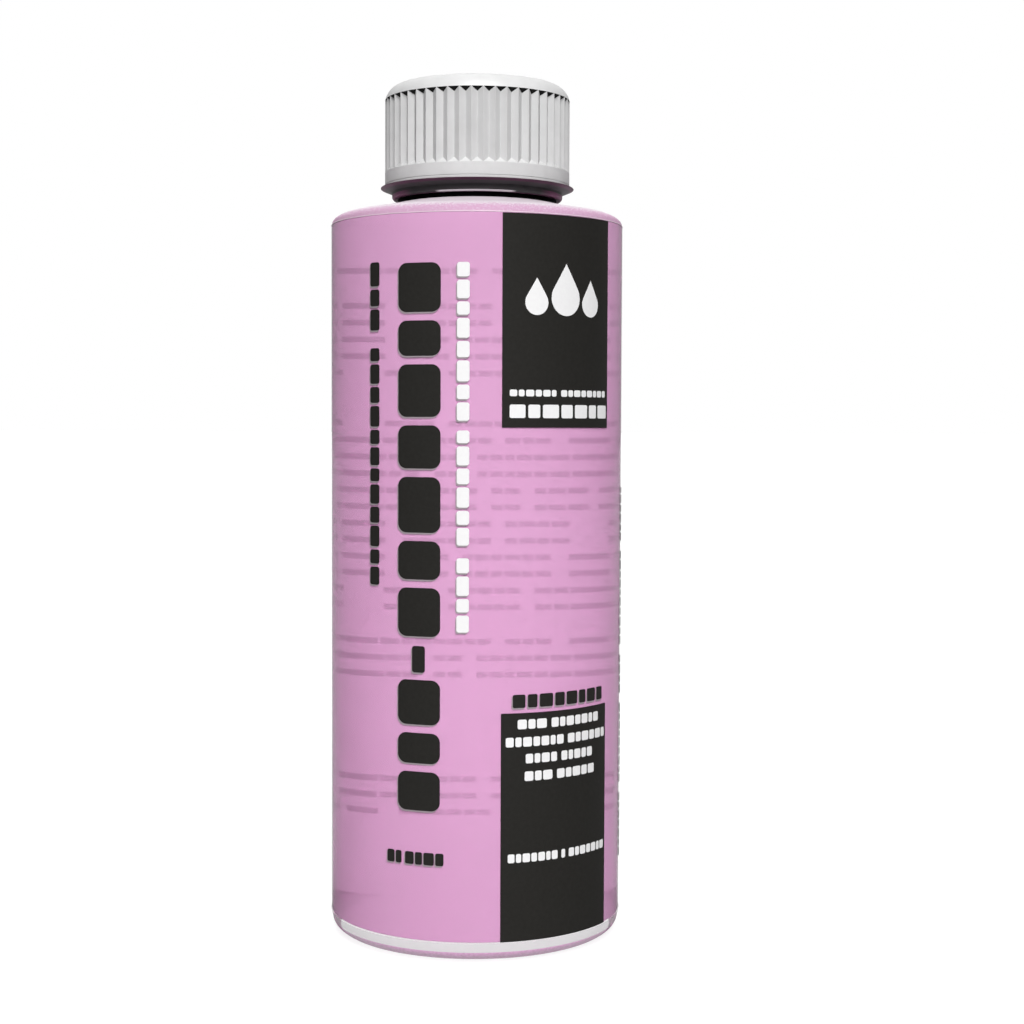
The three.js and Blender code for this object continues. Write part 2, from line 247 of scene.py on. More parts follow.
def finish_mesh(name, vertices, faces, slots, materials):
    """An object of these vertices, in millimetres, with a material slot for each face."""
    mesh = bpy.data.meshes.new(name)
    mesh.from_pydata([Vector(v) * MM for v in vertices], [], faces)
    mesh.polygons.foreach_set("material_index", slots)
    build = bmesh.new()
    build.from_mesh(mesh)
    bmesh.ops.recalc_face_normals(build, faces=build.faces)
    build.to_mesh(mesh)
    build.free()
    mesh.polygons.foreach_set("use_smooth", [True] * len(mesh.polygons))
    mesh.set_sharp_from_angle(angle=math.radians(SHARP_ANGLE))
    for material in materials:
        mesh.materials.append(material)
    piece = bpy.data.objects.new(name, mesh)
    bpy.context.scene.collection.objects.link(piece)
    return piece


def profile_of(sections):
    """Joins sections of (slot, points) into the points and the slot of each step between them."""
    points, slots = [], []
    for slot, section in sections:
        for point in section:
            if points and math.dist(points[-1], point) < SAME:
                continue
            if points:
                slots.append(slot)
            points.append(point)
    return points, slots


def rings_of(points, columns, reshape):
    """Vertices of a turned profile, and the vertex numbers of each of its rings."""
    vertices, rings = [], []
    for radius, height in points:
        if radius == 0:
            rings.append([len(vertices)] * len(columns))
            vertices.append((0, 0, height))
            continue
        rings.append(range(len(vertices), len(vertices) + len(columns)))
        for column, angle in enumerate(columns):
            reach = reshape(radius, height, column) if reshape else radius
            vertices.append((reach * math.sin(angle), -reach * math.cos(angle), height))
    return vertices, rings


def turned(name, sections, materials, columns, reshape=None, split=None):
    """A mesh turned about the axis from sections of (slot, points).

    reshape(radius, height, column) moves a point in or out. split(start, end, column) takes two
    points of the profile and gives None for a plain quad between them, or the diagonal that
    splits it and the slots of its two triangles.
    """
    points, steps = profile_of(sections)
    if math.dist(points[0], points[-1]) < SAME:
        points.pop()
    vertices, rings = rings_of(points, columns, reshape)
    faces, slots = [], []
    for ring, slot in enumerate(steps):
        after = (ring + 1) % len(rings)
        for i in range(len(columns)):
            j = (i + 1) % len(columns)
            a, b, c, d = rings[ring][i], rings[ring][j], rings[after][j], rings[after][i]
            cut = split(points[ring], points[after], i) if split else None
            if cut is None:
                corners = [a, b, c, d]
                faces.append([v for k, v in enumerate(corners) if v != corners[k - 1]])
                slots.append(slot)
                continue
            diagonal, first, second = cut
            faces += [(a, b, c), (a, c, d)] if diagonal == "ac" else [(a, b, d), (b, c, d)]
            slots += [first, second]
    return finish_mesh(name, vertices, faces, slots, materials)


def thread_rise(height, angle, bottom, start, root, crest):
    """Share of a thread's depth, from 0 to 1, at a height and an angle in radians."""
    rise = 0
    for wrap in THREAD_WRAPS:
        turn = (angle - start) / (2 * math.pi) + wrap
        if not 0 <= turn <= THREAD_TURNS:
            continue
        away = abs(height - bottom - turn * THREAD_PITCH)
        flank = min(1, max(0, (root / 2 - away) / ((root - crest) / 2)))
        end = min(1, min(turn, THREAD_TURNS - turn) / THREAD_RUN_OUT)
        rise = max(rise, flank * end)
    return rise


def thread_steps(radius, low, high):
    """Closely spaced points up a threaded wall."""
    count = math.ceil(abs(high - low) / THREAD_RING)
    return [(radius, low + (high - low) * i / count) for i in range(count + 1)]


def srgb(red, green, blue):
    """A colour of 0 to 255 values as Blender's linear colour."""
    def linear(value):
        share = value / 255
        return share / 12.92 if share <= 0.04045 else ((share + 0.055) / 1.055) ** 2.4
    return (linear(red), linear(green), linear(blue), 1)


def new_material(name, colour, roughness, **values):
    """A Principled material; values set its other sockets, with _ for a space."""
    material = bpy.data.materials.new(name)
    material.use_nodes = True
    shader = shader_of(material)
    shader.inputs["Base Color"].default_value = colour
    shader.inputs["Roughness"].default_value = roughness
    for socket, value in values.items():
        shader.inputs[socket.replace("_", " ")].default_value = value
    return material


def shader_of(material):
    return material.node_tree.nodes["Principled BSDF"]


def add_node(material, kind, **settings):
    node = material.node_tree.nodes.new(kind)
    for name, value in settings.items():
        if name in node.inputs:
            node.inputs[name].default_value = value
        else:
            setattr(node, name, value)
    return node


def link(material, source, target):
    material.node_tree.links.new(source, target)


def own_place(material):
    """A point's place in the piece's own coordinates."""
    return add_node(material, "ShaderNodeTexCoord").outputs["Object"]


def noise(material, size, detail=3):
    """Noise whose features are about a size across."""
    texture = add_node(material, "ShaderNodeTexNoise", Scale=1 / (size * MM), Detail=detail)
    link(material, own_place(material), texture.inputs["Vector"])
    return texture.outputs["Fac"]


def colour_by(material, factor, stops):
    """Base colour from a factor, through stops of (place, colour)."""
    ramp = add_node(material, "ShaderNodeValToRGB")
    elements = ramp.color_ramp.elements
    for element, (place, colour) in zip(elements, (stops[0], stops[-1])):
        element.position = place
        element.color = colour
    for place, colour in stops[1:-1]:
        elements.new(place).color = colour
    link(material, factor, ramp.inputs["Fac"])
    link(material, ramp.outputs["Color"], shader_of(material).inputs["Base Color"])


def ranged(material, factor, start, end, low=0, high=1):
    """A factor taken from one range, start to end, to another, low to high."""
    spread = add_node(material, "ShaderNodeMapRange")
    spread.inputs["From Min"].default_value = start
    spread.inputs["From Max"].default_value = end
    spread.inputs["To Min"].default_value = low
    spread.inputs["To Max"].default_value = high
    link(material, factor, spread.inputs["Value"])
    return spread.outputs["Result"]


def roughness_by(material, factor, low, high):
    roughness = ranged(material, factor, 0, 1, low, high)
    link(material, roughness, shader_of(material).inputs["Roughness"])


def bump_by(material, factor, depth):
    """Bump from a factor, as deep as a size."""
    bump = add_node(material, "ShaderNodeBump", Strength=1, Distance=depth * MM)
    link(material, factor, bump.inputs["Height"])
    link(material, bump.outputs["Normal"], shader_of(material).inputs["Normal"])


def moulded(name, dark, light, roughness, mottle=2.5, grain=0.12, depth=0.004, **values):
    """Moulded plastic: faint mottling of its colour and gloss, and a fine grain."""
    material = new_material(name, light, roughness, **values)
    colour_by(material, noise(material, mottle), [(NOISE_LOW, dark), (NOISE_HIGH, light)])
    gloss = noise(material, mottle / 2)
    roughness_by(material, gloss, roughness - GLOSS_SPREAD, roughness + GLOSS_SPREAD)
    bump_by(material, noise(material, grain), depth)
    return material


def combined(tree, operation, *sources):
    """Result of a maths node on sockets and plain numbers."""
    node = tree.nodes.new("ShaderNodeMath")
    node.operation = operation
    for source, target in zip(sources, node.inputs):
        if isinstance(source, bpy.types.NodeSocket):
            tree.links.new(source, target)
        else:
            target.default_value = source
    return node.outputs["Value"]


def outwards(material):
    """The part of a point's place that lies across the bottle's axis."""
    flat = add_node(material, "ShaderNodeVectorMath", operation="MULTIPLY")
    flat.inputs[1].default_value = (1, 1, 0)
    link(material, own_place(material), flat.inputs[0])
    return flat.outputs["Vector"]


def distance_from_axis(material):
    """The distance of a point from the bottle's axis, in metres."""
    length = add_node(material, "ShaderNodeVectorMath", operation="LENGTH")
    link(material, outwards(material), length.inputs[0])
    return length.outputs["Value"]


def frontness(material):
    """1 at the front of the piece, 0 at its sides and -1 at its back."""
    unit = add_node(material, "ShaderNodeVectorMath", operation="NORMALIZE")
    front = add_node(material, "ShaderNodeVectorMath", operation="DOT_PRODUCT")
    front.inputs[1].default_value = (0, -1, 0)
    link(material, outwards(material), unit.inputs[0])
    link(material, unit.outputs["Vector"], front.inputs[0])
    return front.outputs["Value"]


PINK = srgb(254, 195, 239)
SHOULDER_PINK = srgb(218, 172, 204)
HALF_PALE_SPECKLE = srgb(224, 188, 214)
PALEST_SPECKLE = srgb(240, 228, 237)
PLUM = srgb(88, 55, 75)
LIT_HEM_PLUM = srgb(124, 78, 106)
# painted shade for the bead's underside and the collar, a darker grey than the plum neck
SHADE_CHARCOAL = srgb(68, 67, 68)
PAINTED_GLINT = srgb(222, 219, 221)


def clear_plastic():
    """Wall of the body, behind the label."""
    material = new_material("clear_plastic", PINK, 0.12, Alpha=WALL_SHOWN, IOR=PLASTIC_IOR)
    roughness_by(material, noise(material, 3), 0.08, 0.18)
    return material


def shoulder_plastic():
    """Shoulder: pink of the liquid under it, with a pale speckle that thickens to the neck."""
    material = new_material("shoulder_plastic", PINK, 0.55, Alpha=SHOULDER_SHOWN, Specular_IOR_Level=0.2)
    nearness = ranged(material, distance_from_axis(material), PALE_SPECKLE_START * MM, PALE_SPECKLE_END * MM,
                      PALE_SPECKLE_LEAST, PALE_SPECKLE_MOST)
    speckle = noise(material, SPECKLE, detail=2)
    paled = combined(material.node_tree, "ADD", nearness, speckle)
    colour_by(material, paled, [(0.34, SHOULDER_PINK), (0.52, HALF_PALE_SPECKLE), (0.7, PALEST_SPECKLE)])
    roughness_by(material, speckle, 0.48, 0.64)
    bump_by(material, speckle, 0.01)
    return material


def painted_shade_plastic(name):
    return moulded(name, srgb(62, 61, 62), SHADE_CHARCOAL, 0.42, Specular_IOR_Level=0.1)


def collar_hem():
    """Lower part of the collar, which turns from painted charcoal shade in front to painted lit plum at
    the sides.
    """
    material = painted_shade_plastic("collar_hem")
    colour_by(material, frontness(material), [(COLLAR_SIDE, LIT_HEM_PLUM), (COLLAR_FRONT, SHADE_CHARCOAL)])
    return material


def collar_painted_highlight():
    """Line under the collar with a painted highlight over a short stretch in front, painted charcoal
    shade and lit plum elsewhere.
    """
    material = painted_shade_plastic("collar_painted_highlight")
    dull = [(COLLAR_SIDE, LIT_HEM_PLUM), (COLLAR_FRONT, SHADE_CHARCOAL), (GLINT_FADE, SHADE_CHARCOAL)]
    colour_by(material, frontness(material), dull + [(GLINT_FULL, PAINTED_GLINT)])
    return material


def liquid_look(name, clearness):
    """Pink liquid, clear enough to show the print on the back of the label."""
    material = new_material(name, PINK, 0, Transmission_Weight=clearness, IOR=LIQUID_IOR,
                            Specular_IOR_Level=0.1)
    colour_by(material, noise(material, 18, detail=1),
              [(NOISE_LOW, srgb(252, 193, 237)), (NOISE_HIGH, srgb(255, 197, 241))])
    return material


def film_look():
    """Clear label film with a soft, slightly uneven gloss."""
    material = new_material("label_film", PINK, 0.3, Alpha=FILM_SHOWN, IOR=FILM_IOR)
    roughness_by(material, noise(material, 4), 0.24, 0.36)
    bump_by(material, noise(material, 3, detail=1), 0.002)
    return material


def ink_look(name, dark, light):
    """Printing ink: dense and nearly even, with the press's fine grain."""
    material = new_material(name, light, 0.45, Specular_IOR_Level=0.08)
    colour_by(material, noise(material, 0.5), [(NOISE_LOW, dark), (NOISE_HIGH, light)])
    roughness_by(material, noise(material, 2.4), 0.4, 0.5)
    bump_by(material, noise(material, 0.1), 0.001)
    return material


def foam_look():
    """Closed-cell foam of the liner."""
    material = new_material("liner_foam", srgb(244, 244, 240), 0.85)
    cells = add_node(material, "ShaderNodeTexVoronoi", Scale=1 / (FOAM_CELL * MM))
    link(material, own_place(material), cells.inputs["Vector"])
    depth = cells.outputs["Distance"]
    colour_by(material, depth, [(0, srgb(226, 226, 220)), (0.6, srgb(247, 247, 244))])
    bump_by(material, depth, 0.03)
    return material


def neck_thread(radius, height, column):
    if abs(radius - NECK_RADIUS) > SAME:
        return radius
    angle = 2 * math.pi * column / COLUMNS
    rise = thread_rise(height, angle, THREAD_BOTTOM, 0, THREAD_ROOT_WIDTH, THREAD_CREST_WIDTH)
    return radius + THREAD_DEPTH * rise


def heel_points():
    """Round of the foot, clear below and pink above, and the band that leans in to it, painted pale for
    the bright floor seen through the heel.
    """
    end = math.asin(HEEL_BAND_BOTTOM / FOOT_ROUND_HEIGHT - 1)
    reach = (HEEL_REACH - HEEL_BAND_LEAN) / math.cos(end)
    ellipse = (BODY_RADIUS - HEEL_REACH, FOOT_ROUND_HEIGHT, reach)
    clear = arc(*ellipse, -90, FOOT_TINT_START, rise=FOOT_ROUND_HEIGHT)
    foot = arc(*ellipse, FOOT_TINT_START, math.degrees(end), rise=FOOT_ROUND_HEIGHT)
    return clear, foot, [foot[-1], (BODY_RADIUS, PANEL_BOTTOM)]


def bead_points():
    """Underside of the bead, split where its painted charcoal shade turns plum, and its thin edge."""
    tip = BEAD_RADIUS - BEAD_ROUND
    slope = math.degrees(math.atan2(BEAD_SLOPE, BEAD_RADIUS - COLLAR_RADIUS))
    share = 1 - BEAD_PLUM_SHARE
    turn = (COLLAR_RADIUS + (BEAD_RADIUS - COLLAR_RADIUS) * share, COLLAR_TOP + BEAD_SLOPE * share)
    return [turn], small_arc(tip, BEAD_LOW + BEAD_ROUND, BEAD_ROUND, slope - 90, 90)


def inner_wall():
    """Inside of the bottle, from the shoulder down to the middle of the foot."""
    shoulder = arc(CAVITY_RADIUS - INNER_SHOULDER_REACH, CEILING - INNER_SHOULDER_HEIGHT,
                   INNER_SHOULDER_REACH, 90, 0, rise=INNER_SHOULDER_HEIGHT)
    heel = small_arc(CAVITY_RADIUS - LIQUID_EDGE, FOOT_THICKNESS + LIQUID_EDGE, LIQUID_EDGE, 0, -90)
    return shoulder + heel + [(0, FOOT_THICKNESS)]


def bottle_sections():
    """Profile of the bottle, from under the foot, over the mouth and back to the foot."""
    clear, foot, band = heel_points()
    charcoal_end, bead_edge = bead_points()
    shoulder = arc(BODY_RADIUS - SHOULDER_REACH, PANEL_TOP + SHOULDER_LINE,
                   SHOULDER_REACH - SHOULDER_LINE_LEAN, 0, 90, rise=SHOULDER_HEIGHT - SHOULDER_LINE)
    collar = (COLLAR_RADIUS - COLLAR_ROUND, COLLAR_BOTTOM + COLLAR_ROUND, COLLAR_ROUND)
    mouth = small_arc(NECK_RADIUS - MOUTH_ROUND, MOUTH - MOUTH_ROUND, MOUTH_ROUND, 0, 90)
    return [
        ("wall", dome(FOOT_INNER_RADIUS, 0, PUSH_UP) + clear),
        ("foot", foot),
        ("band", band),
        ("wall", [(PANEL_RADIUS, PANEL_BOTTOM), (PANEL_RADIUS, PANEL_TOP)]),
        ("line", [shoulder[0]]),
        ("shoulder", shoulder + [(THROAT_RADIUS, THROAT_BOTTOM)]),
        ("throat", [(THROAT_RADIUS, COLLAR_BOTTOM)]),
        ("plum", small_arc(*collar, -90, GLINT_START)),
        # a painted highlight on the collar's lower round
        ("glint", small_arc(*collar, GLINT_START, GLINT_END)),
        ("hem", small_arc(*collar, GLINT_END, 0) + [(COLLAR_RADIUS, COLLAR_BOTTOM + COLLAR_HEM)]),
        # the collar's side and the bead's underside take painted charcoal shade
        ("charcoal", [(COLLAR_RADIUS, COLLAR_TOP)] + charcoal_end),
        ("plum", bead_edge),
        ("plum", thread_steps(NECK_RADIUS, BEAD_TOP, MOUTH - MOUTH_ROUND) + mouth),
        ("plum", [(BORE_RADIUS, MOUTH), (BORE_RADIUS, CEILING + SHOULDER_SLOPE)]),
        ("wall", inner_wall()),
    ]


def bottle_looks():
    """Material of each section of the bottle."""
    return {
        "foot": moulded("foot_plastic", srgb(232, 142, 210), srgb(255, 170, 238), 0.4,
                        mottle=0.4, grain=0.25, depth=0.02, Alpha=FOOT_SHOWN),
        # the heel band is painted pale for the bright floor seen through it
        "band": moulded("heel_band_painted_light", srgb(226, 222, 226), srgb(234, 230, 233), 0.25,
                        Alpha=BAND_SHOWN),
        # the line over the label is painted pale as a highlight on its edge
        "line": moulded("shoulder_line_painted_highlight", srgb(225, 200, 216), srgb(231, 208, 223), 0.4),
        "wall": clear_plastic(),
        "shoulder": shoulder_plastic(),
        "throat": moulded("throat_shade", srgb(1, 1, 1), srgb(4, 4, 4), 0.7,
                          Specular_IOR_Level=0.02),
        "plum": moulded("plum_plastic", srgb(76, 47, 64), PLUM, 0.4, Specular_IOR_Level=0.1),
        "charcoal": painted_shade_plastic("painted_shade_plastic"),
        "glint": collar_painted_highlight(),
        "hem": collar_hem(),
    }


def make_bottle():
    looks = bottle_looks()
    names = list(looks)
    sections = [(names.index(name), points) for name, points in bottle_sections()]
    bottle = turned("bottle_shell", sections, looks.values(), even_columns(COLUMNS), neck_thread)
    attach(bottle, "bottle_body")
    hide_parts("bottle")


def make_liquid():
    """Liquid between the label's two edges, with flat, clear ends."""
    reach = CAVITY_RADIUS - SHOWN_GAP - LIQUID_EDGE
    bottom = FOOT_THICKNESS + SEAT_GAP
    lower = small_arc(reach, bottom + LIQUID_EDGE, LIQUID_EDGE, -90, 0)
    upper = small_arc(reach, PANEL_TOP - LIQUID_EDGE, LIQUID_EDGE, 0, 90)
    side, end = range(2)
    sections = [(end, [(0, bottom), lower[0]]), (side, lower + upper), (end, [(0, PANEL_TOP)])]
    looks = [liquid_look("pink_liquid", LIQUID_CLEARNESS), liquid_look("liquid_ends", 1)]
    liquid = turned("liquid_body", sections, looks, even_columns(COLUMNS))
    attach(liquid, "bottle_body")
    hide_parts("liquid_fill")


# Label print: plain blocks in the rhythm of words. Heights are from the label's lower edge.
FILM_HEIGHT = LABEL_TOP - LABEL_BOTTOM
FILM_SEAM = 2
FILM_SEAM_TURN = 105
FILM_CORNER = 1.5
FILM_STEP = 0.6
INK_LAYER = 0.012
INK_LAYERS = 4  # thickness of each print, part of which is sunk in the film
WORD_CORNER = 0.25
BLOCK_ROUNDNESS = 5  # width of an upright word's block, in radii of its corners
PANEL_CORNER = 0.05
CORNER_FIT = 2.01  # a bar is at least this many corner radii wide and high
SMALL_CORNER = 0.5
SMALL_CORNER_STEPS = 3
CORNER_STEPS = 6
LETTER_WIDTHS = (1, 0.82, 1.12, 0.9, 1.06, 0.76)
LETTER_GAP = 0.16  # of the blocks' pitch
SHADOW_SHIFT = (-0.16, -0.22)
FILM_OVERLAP = 0.08  # the film is drawn this much taller, up to the shoulder and the heel
PANEL_LEFT = 10.4
PANEL_RIGHT = 60.8
UPPER_PANEL_BOTTOM = 69.7
LOWER_PANEL_TOP = 31.2
DROPS = ((-4.6, 3.4, 5), (0, 4.8, 7), (4.6, 3.4, 5))  # place along, width and height
DROPS_MIDDLE = 36.2
DROPS_BOTTOM = 84.8
DROP_COLUMNS = 24
DROP_TRIM = 0.98  # of a drop's round, so that its outermost columns keep some height
FINE_LEFT = 124
FINE_RIGHT = 236
FINE_PITCH = 2.44
FINE_BLOCKS = ((91.4, 1), (86.3, 5), (69.2, 12), (37.3, 3), (17, 3))  # top row's height, and rows
FINE_HEIGHT = 0.85
FINE_LETTER = 0.95
FINE_WORDS = (5, 3, 8, 2, 4, 6, 3)  # letters in each word
FINE_SHORTEST = 2  # letters that a line has to have room for, to take another word
FINE_INDENT = 3
FINE_ENDS = 3  # different line ends, an indent apart


def around(angle):
    """Distance round the label from its front."""
    return BODY_RADIUS * math.radians(angle)


def bar(left, right, low, high, corner=WORD_CORNER):
    """Columns of (distance round, low, high) of a bar with round corners."""
    corner = min(corner, (right - left) / CORNER_FIT, (high - low) / CORNER_FIT)
    steps = SMALL_CORNER_STEPS if corner < SMALL_CORNER else CORNER_STEPS
    turns = [math.pi / 2 * (i + 0.5) / steps for i in range(steps)]
    inset = [(corner * (1 - math.cos(t)), corner * (1 - math.sin(t))) for t in turns]
    middle = right - left - 2 * corner
    count = max(1, math.ceil(middle / FILM_STEP))
    columns = [(left + along, low + up, high - up) for along, up in inset]
    columns += [(left + corner + middle * i / count, low, high) for i in range(count + 1)]
    columns += [(right - along, low + up, high - up) for along, up in reversed(inset)]
    return columns


def drop(middle, low, width, height):
    """Columns of a plain drop: a round foot drawn up to a point."""
    size = width / 2
    centre = low + size
    lean = math.asin(size / (height - size))
    touch = size * math.cos(lean)
    columns = []
    for i in range(DROP_COLUMNS + 1):
        off = size * math.sin(math.pi * (i / DROP_COLUMNS - 0.5) * DROP_TRIM)
        reach = math.sqrt(size * size - off * off)
        top = low + height - abs(off) / math.tan(lean) if abs(off) < touch else centre + reach
        columns.append((middle + off, centre - reach, top))
    return columns


def letters(start, end, pitch):
    """Stretches of the blocks that fill a word, about a pitch apart and not all as wide."""
    count = max(1, round((end - start) / pitch))
    widths = [LETTER_WIDTHS[i % len(LETTER_WIDTHS)] for i in range(count)]
    gap = LETTER_GAP * pitch
    unit = (end - start + gap) / sum(widths)
    stretches = []
    for width in widths:
        stretches.append((start, start + unit * width - gap))
        start += unit * width
    return stretches


def row(low, high, pitch, *words):
    """Blocks of words that run round the label, each from one angle to another."""
    return [bar(left, right, low, high)
            for start, end in words
            for left, right in letters(around(start), around(end), pitch)]


def column(middle, width, pitch, *words):
    """Blocks of words that run up the label at an angle, each from one height to another."""
    left = around(middle) - width / 2
    return [bar(left, left + width, low, high, width / BLOCK_ROUNDNESS)
            for start, end in words
            for low, high in letters(start, end, pitch)]


def shifted(patches):
    """The same patches, moved aside and down as a soft print shadow is."""
    along, up = SHADOW_SHIFT
    return [[(place + along, low + up, high + up) for place, low, high in patch]
            for patch in patches]


def fine_print():
    """Rows of small word-like blocks on the back."""
    patches = []
    word = 0
    for top, rows in FINE_BLOCKS:
        for low in (top - i * FINE_PITCH for i in range(rows)):
            place = around(FINE_LEFT)
            limit = around(FINE_RIGHT) - word % FINE_ENDS * FINE_INDENT
            while place < limit - FINE_LETTER * FINE_SHORTEST:
                end = min(place + FINE_WORDS[word % len(FINE_WORDS)] * FINE_LETTER, limit)
                for stretch in letters(place, end, FINE_LETTER):
                    patches.append([(edge, low, low + FINE_HEIGHT) for edge in stretch])
                place = end + FINE_LETTER
                word += 1
    return patches


def wrapped(name, patches, inner, outer, material):
    """A piece of closed patches, each bent round the bottle between two radii."""
    vertices, faces = [], []
    ring = (0, 1, 3, 2)  # the four corners of a column, in their order round it
    for columns in patches:
        first = len(vertices)
        for along, low, high in columns:
            angle = along / BODY_RADIUS
            for radius in (inner, outer):
                for height in (low, high):
                    place = (radius * math.sin(angle), -radius * math.cos(angle))
                    vertices.append((*place, LABEL_BOTTOM + height))
        for i in range(len(columns) - 1):
            a = first + len(ring) * i
            b = a + len(ring)
            for k, m in zip(ring, ring[1:] + ring[:1]):
                faces.append((a + k, a + m, b + m, b + k))
        last = first + len(ring) * (len(columns) - 1)
        for end in (first, last):
            faces.append([end + k for k in ring])
    piece = finish_mesh(name, vertices, faces, [0] * len(faces), [material])
    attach(piece, "bottle_body")
    return piece


def printed(name, patches, layer, material):
    """A layer of ink: each one sinks a little less and stands a little prouder than the last."""
    inner = BODY_RADIUS - INK_LAYER * (INK_LAYERS - layer)
    outer = BODY_RADIUS + INK_LAYER * layer
    wrapped(name, patches, inner, outer, material)


# Upright lines of words: the angle of their middle, their width and the pitch of their blocks
SMALL_LINE = (-40.2, 1.7, 2.7)
LARGE_LINE = (-20.6, 6.2, 7.1)
JOINING_LINE = (-20.6, 1.9, 4)
WHITE_LINE = (-3.8, 1.7, 2.7)
SIDE_LINE = (83, 1, 1.3)

# Level rows of words: their lower edge, their upper edge and the pitch of their blocks
FOOT_ROW = (10.4, 12.1, 1.25)
HEAD_ROW = (31.9, 33.7, 2.1)
UPPER_PANEL_ROWS = ((73.9, 74.8, 1.15), (71, 72.8, 2.4))
LOWER_PANEL_ROWS = ((29, 30.3, 1.3), (26.6, 27.9, 1.3), (24.3, 25.6, 1.3), (21.9, 23.2, 1.3))
LAST_PANEL_ROW = (10.8, 12, 1.1)


def dark_words():
    """Words in dark ink, from one height or angle to another."""
    return [
        *column(*SMALL_LINE, (48.2, 80.4), (82.8, 92)),
        *column(*LARGE_LINE, (17.8, 35.6), (41.5, 91.7)),
        *column(*JOINING_LINE, (36.6, 40.2)),
        *row(*FOOT_ROW, (-33.8, -27.5), (-26, -10.7)),
        *row(*HEAD_ROW, (14.8, 57.9)),
    ]


def side_words():
    """Small words that run up the label at the edge of the photograph's view."""
    return column(*SIDE_LINE, (7.8, 17), (18.5, 30), (31.5, 37), (38.5, 52), (53.5, 61.2))


def white_words():
    """Words in white ink, from one height to another."""
    return column(*WHITE_LINE, (42.2, 52.2), (53.9, 69.3), (70.6, 91.7))


def panel_words():
    """White words on the dark panels, from one angle to another."""
    upper, lower = UPPER_PANEL_ROWS, LOWER_PANEL_ROWS
    return [
        *row(*upper[0], (13.2, 32), (34, 58.8)),
        *row(*upper[1], (13.2, 59.7)),
        *row(*lower[0], (16.7, 28.5), (30.5, 55.1)),
        *row(*lower[1], (12.2, 36), (38, 59.7)),
        *row(*lower[2], (19.9, 33), (35, 51.2)),
        *row(*lower[3], (19.5, 31), (33, 52.5)),
        *row(*LAST_PANEL_ROW, (13.1, 33.5), (35.2, 37), (38.7, 59.5)),
    ]


def label_panels():
    """The two dark panels, at the label's upper and lower edge."""
    left, right = around(PANEL_LEFT), around(PANEL_RIGHT)
    return [
        bar(left, right, UPPER_PANEL_BOTTOM, FILM_HEIGHT, PANEL_CORNER),
        bar(left, right, 0, LOWER_PANEL_TOP, PANEL_CORNER),
    ]


def label_drops():
    """Three plain drops on the upper panel."""
    middle = around(DROPS_MIDDLE)
    return [drop(middle + along, DROPS_BOTTOM, width, height) for along, width, height in DROPS]


def make_label():
    start = around(FILM_SEAM_TURN - 360) + FILM_SEAM / 2
    end = around(FILM_SEAM_TURN) - FILM_SEAM / 2
    sheet = bar(start, end, -FILM_OVERLAP, FILM_HEIGHT + FILM_OVERLAP, FILM_CORNER)
    film = wrapped("label_sheet", [sheet], BODY_RADIUS - FILM_THICKNESS, BODY_RADIUS, film_look())
    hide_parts("label")
    # grey copy of the words, shifted aside and down: a painted drop shadow of the print
    printed("label_print_shadow", shifted(dark_words() + white_words()), 1,
            ink_look("painted_shadow_ink", srgb(160, 148, 155), srgb(170, 158, 165)))
    printed("label_print_dark", label_panels() + dark_words() + side_words(), 2,
            ink_look("dark_ink", srgb(41, 40, 38), srgb(44, 43, 41)))
    printed("label_print_fine", fine_print(), 2,
            ink_look("fine_ink", srgb(70, 60, 66), srgb(80, 68, 76)))
    printed("label_print_white", white_words() + panel_words() + label_drops(), 3,
            ink_look("white_ink", srgb(252, 251, 252), srgb(255, 255, 255)))


def make_insert():
    outer = BORE_RADIUS - SEAT_GAP
    inner = outer - INSERT_WALL
    web_bottom = WEB_TOP - WEB_THICKNESS
    flange_bottom = INSERT_TOP - INSERT_FLANGE
    edge = INSERT_ROUND
    shank = outer - INSERT_BEAD_HEIGHT
    beads = []
    reach = INSERT_BEAD_REACH
    for height in (INSERT_BOTTOM + lift for lift in INSERT_BEADS):
        beads += [(shank, height - reach), (outer, height), (shank, height + reach)]
    points = [
        (ORIFICE_RADIUS, web_bottom + edge),
        *small_arc(ORIFICE_RADIUS + edge, web_bottom + edge, edge, 180, 270),
        (inner, web_bottom),
        (inner, INSERT_BOTTOM),
        (outer - INSERT_CHAMFER, INSERT_BOTTOM),
        (shank, INSERT_BOTTOM + INSERT_CHAMFER),
        *beads,
        (shank, flange_bottom),
        *small_arc(INSERT_FLANGE_RADIUS - edge, flange_bottom + edge, edge, -90, 0),
        *small_arc(INSERT_FLANGE_RADIUS - edge, INSERT_TOP - edge, edge, 0, 90),
        *small_arc(inner + edge, INSERT_TOP - edge, edge, 90, 180),
        *small_arc(inner - edge, WEB_TOP + edge, edge, 0, -90),
        *small_arc(ORIFICE_RADIUS + edge, WEB_TOP - edge, edge, 90, 180),
        (ORIFICE_RADIUS, web_bottom + edge),
    ]
    look = moulded("natural_plastic", srgb(232, 231, 224), srgb(243, 242, 237), 0.38)
    insert = turned("pour_plug", [(0, points)], [look], even_columns(COLUMNS))
    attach(insert, "bottle_body")
    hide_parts("pour_insert")


